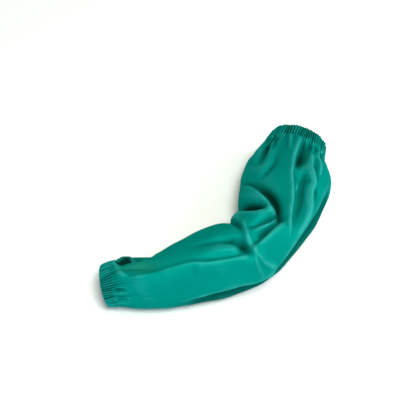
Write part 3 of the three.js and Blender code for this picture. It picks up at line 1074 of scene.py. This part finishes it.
class SleeveSettings(bpy.types.PropertyGroup):
    """All settings of the work sleeve"""
    sizes: bpy.props.PointerProperty(
        name="Sizes", description="Sizes of the sleeve's make", type=SleeveSizes)
    colours: bpy.props.PointerProperty(
        name="Colours", description="Colours of cloth, thread and stage", type=SleeveColours)
    stage: bpy.props.PointerProperty(
        name="Stage", description="Camera and lights", type=StageSettings)


# Operators

class WORKSLEEVE_OT_stage(bpy.types.Operator):
    """Add the pale floor, soft lights and the camera"""
    bl_idname = "work_sleeve.stage"
    bl_label = "Add Stage"

    def execute(self, context):
        settings = context.scene.work_sleeve
        add_floor(settings.colours)
        add_lights(context.scene, settings)
        add_camera(context.scene, settings.stage)
        return {"FINISHED"}


class WORKSLEEVE_OT_cloth(bpy.types.Operator):
    """Add the folded cloth tube of the sleeve"""
    bl_idname = "work_sleeve.cloth"
    bl_label = "Add Sleeve Cloth"

    def execute(self, context):
        settings = context.scene.work_sleeve
        sizes = settings.sizes
        along, around = cloth_grid()
        points, sunk = cloth_surface(along, around)
        rows, columns = along.shape
        uv = grid_uv(rows, columns, sizes.cut_width, sizes.cut_length)
        piece = add_mesh("sleeve_cloth", points.reshape(-1, 3), grid_faces(rows, columns), uv)
        # Crests take wear and painted highlight, with more painted highlight on the upper arm and the elbow's
        # flap and none in the wrist's pocket
        worn = 1 + HIGHLIGHT_MORE * patch(HIGHLIGHT_SPOT, along, around)
        worn *= 1 - patch(POCKET, along, around)
        crests = crests_and_hollows(points) * worn + FLAP_HIGHLIGHT * patch(FLAP, along, around)
        below = shade_below_crease(along, around)
        set_marks(piece, crest=crests, sunk=sunk, below=below, faded=patch(YELLOWISH, along, around))
        wall = piece.modifiers.new("cloth wall", "SOLIDIFY")
        wall.thickness = sizes.cloth_thickness
        wall.offset = -1
        material = cloth_material("sleeve cloth", settings.colours, CLOTH_CLOUDS, sizes.weave_depth)
        settle(piece, "sleeve_body", material)
        return {"FINISHED"}


class WORKSLEEVE_OT_casings(bpy.types.Operator):
    """Add the two gathered casings that hold the elastic"""
    bl_idname = "work_sleeve.casings"
    bl_label = "Add Casings"

    def execute(self, context):
        settings = context.scene.work_sleeve
        sizes = settings.sizes
        material = cloth_material("casing cloth", settings.colours, CASING_CLOUDS, sizes.weave_depth)
        for end in ENDS:
            points, wave = casing_grid(end, sizes.casing_thickness / MM)
            rows, columns = points.shape[:2]
            faces = grid_faces(rows, columns, close_rows=True)
            uv = grid_uv(rows, columns, sizes.cut_width, 2 * end.band * MM, close_rows=True)
            uv = uv.reshape(-1, 4, 2)
            if end is WRIST:
                faces, uv = faces[:, ::-1], uv[:, ::-1]
            piece = add_mesh(f"{end.name}_casing", points.reshape(-1, 3), faces, uv)
            # Painted highlight on the pleats' crests and painted shade between them, plus the end's own
            # painted shade
            set_marks(piece, crest=end.rub * wave, sunk=end.shade - PLEAT_SHADE * wave)
            settle(piece, end.node, material)
        return {"FINISHED"}


class WORKSLEEVE_OT_seam(bpy.types.Operator):
    """Add the felled seam that closes the cloth lengthwise"""
    bl_idname = "work_sleeve.seam"
    bl_label = "Add Seam"

    def execute(self, context):
        sizes = context.scene.work_sleeve.sizes
        points, sunk = seam_grid()
        rows, columns = points.shape[:2]
        low = np.arange(SEAM_COLUMNS - 1)
        cap = np.stack([low, low + 1, columns - 2 - low, columns - 1 - low], -1)
        faces = np.concatenate([grid_faces(rows, columns), cap, (rows - 1) * columns + cap[:, ::-1]])
        uv = grid_uv(rows, columns, 4 * SEAM_HALF * MM, sizes.cut_length)
        uv = np.concatenate([uv, np.zeros((2 * cap.size, 2))])
        piece = add_mesh("seam", points.reshape(-1, 3), faces, uv)
        # The seam takes the cloth's painted shade
        set_marks(piece, sunk=sunk)
        settle(piece, None, bpy.data.materials["sleeve cloth"])
        return {"FINISHED"}


class WORKSLEEVE_OT_stitching(bpy.types.Operator):
    """Add the rows of stitches along the casings and the seam"""
    bl_idname = "work_sleeve.stitching"
    bl_label = "Add Stitching"

    def execute(self, context):
        settings = context.scene.work_sleeve
        sizes = settings.sizes
        material = thread_material("sewing thread", settings.colours)
        thread = (sizes.thread_radius / MM, sizes.stitch_length / MM, sizes.stitch_gap / MM)
        paths = {f"{end.name}_stitches": casing_stitch_path(end) for end in ENDS}
        paths["seam_stitches_low"] = seam_stitch_path(1)
        paths["seam_stitches_high"] = seam_stitch_path(-1)
        for name, path in paths.items():
            piece = add_mesh(name, *stitch_tubes(path, *thread))
            settle(piece, None, material)
        return {"FINISHED"}


# Stage

FLOOR_HALF = 8000.0  # half the floor's side
FLOOR_CLOUDS = 0.03  # how far its tone varies
FLOOR_SCALE = 3.0
FLOOR_DETAIL = 2.0
WHITE = (1, 1, 1, 1)

# The lights, in metres: the point that they face, where each stands and how wide it is
LIGHT_AIM = (0.02, -0.03, 0.05)
Light = namedtuple("Light", "name place size")
LIGHTS = (
    Light("key", (0.3, -0.8, 2.1), 0.8),
    Light("front", (-0.9, -1.9, 0.7), 1.2),
    Light("side", (1.89, 0.2, 1.18), 0.9),
)


def add_floor(colours):
    """A wide pale floor with a very faint unevenness in its tone."""
    corners = FLOOR_HALF * np.array([[-1, -1, 0], [1, -1, 0], [1, 1, 0], [-1, 1, 0]])
    floor = add_mesh("floor", corners, np.array([[0, 1, 2, 3]]))
    material, tree, shader = new_material("pale floor")
    noise = tree.noise(tree.where("Object"), FLOOR_SCALE, FLOOR_DETAIL)
    shade = tree.math("MULTIPLY", noise, FLOOR_CLOUDS)
    tree.fill(shader, {
        "Base Color": tree.mix(shade, colours.floor, WHITE),
        "Roughness": 0.9,
        "Specular IOR Level": 0.1,
    })
    floor.data.materials.append(material)


def area_light(light, power, colour):
    """A square soft light that faces the sleeve."""
    name = f"{light.name} light"
    data = bpy.data.lights.new(name, "AREA")
    data.shape = "SQUARE"
    data.size = light.size
    data.energy = power
    data.color = tuple(colour)[:3]
    lamp = bpy.data.objects.new(name, data)
    lamp.location = light.place
    lamp.rotation_euler = (Vector(LIGHT_AIM) - Vector(light.place)).to_track_quat("-Z", "Y").to_euler()
    bpy.context.collection.objects.link(lamp)


def add_lights(scene, settings):
    """A high light and a low bluish one from the front, one from the right and even light from all round."""
    stage, colours = settings.stage, settings.colours
    for light in LIGHTS:
        power = getattr(stage, f"{light.name}_power")
        area_light(light, power, getattr(colours, f"{light.name}_light"))
    world = bpy.data.worlds.new("room")
    world.use_nodes = True
    room = world.node_tree.nodes["Background"]
    room.inputs["Color"].default_value = colours.room_light
    room.inputs["Strength"].default_value = stage.room_strength
    scene.world = world
    scene.view_settings.view_transform = "Standard"


def add_camera(scene, stage):
    """The camera at the photograph's angle: raised by its elevation and looking along +Y at its aim."""
    data = bpy.data.cameras.new("camera")
    data.sensor_width = 36
    data.lens = stage.lens
    camera = bpy.data.objects.new("camera", data)
    back = Vector((0, -np.cos(stage.elevation), np.sin(stage.elevation)))
    camera.location = Vector(stage.aim) + stage.distance * back
    camera.rotation_euler = (np.pi / 2 - stage.elevation, 0, 0)
    bpy.context.collection.objects.link(camera)
    scene.camera = camera


# Panel and registration

class WORKSLEEVE_PT_panel(bpy.types.Panel):
    """Sidebar panel that lists the sleeve's settings and operators"""
    bl_label = "Work Sleeve"
    bl_idname = "WORKSLEEVE_PT_panel"
    bl_space_type = "VIEW_3D"
    bl_region_type = "UI"
    bl_category = "Work Sleeve"

    def draw(self, context):
        settings = context.scene.work_sleeve
        for group in (settings.sizes, settings.colours, settings.stage):
            box = self.layout.box()
            for name in group.__annotations__:
                box.prop(group, name)
        for operator in OPERATORS:
            self.layout.operator(operator.bl_idname)


OPERATORS = (
    WORKSLEEVE_OT_stage,
    WORKSLEEVE_OT_cloth,
    WORKSLEEVE_OT_casings,
    WORKSLEEVE_OT_seam,
    WORKSLEEVE_OT_stitching,
)
CLASSES = (SleeveSizes, SleeveColours, StageSettings, SleeveSettings, *OPERATORS, WORKSLEEVE_PT_panel)


def register():
    for item in CLASSES:
        bpy.utils.register_class(item)
    bpy.types.Scene.work_sleeve = bpy.props.PointerProperty(
        name="Work sleeve", description="Settings of the work sleeve", type=SleeveSettings)


def unregister():
    del bpy.types.Scene.work_sleeve
    for item in reversed(CLASSES):
        bpy.utils.unregister_class(item)


def declare_sheet():
    """Names of the pieces sewn on the cloth's flat cut, a trapezium that narrows to the wrist; the list is
    not used.
    """
    names = [f"{end.name}_{kind}" for end in ENDS for kind in ("casing", "stitches")]
    names += ["seam", "seam_stitches_low", "seam_stitches_high"]


def main():
    register()
    bpy.ops.work_sleeve.stage()
    bpy.ops.work_sleeve.cloth()
    bpy.ops.work_sleeve.casings()
    bpy.ops.work_sleeve.seam()
    bpy.ops.work_sleeve.stitching()
    declare_sheet()


if __name__ == "__main__":
    main()
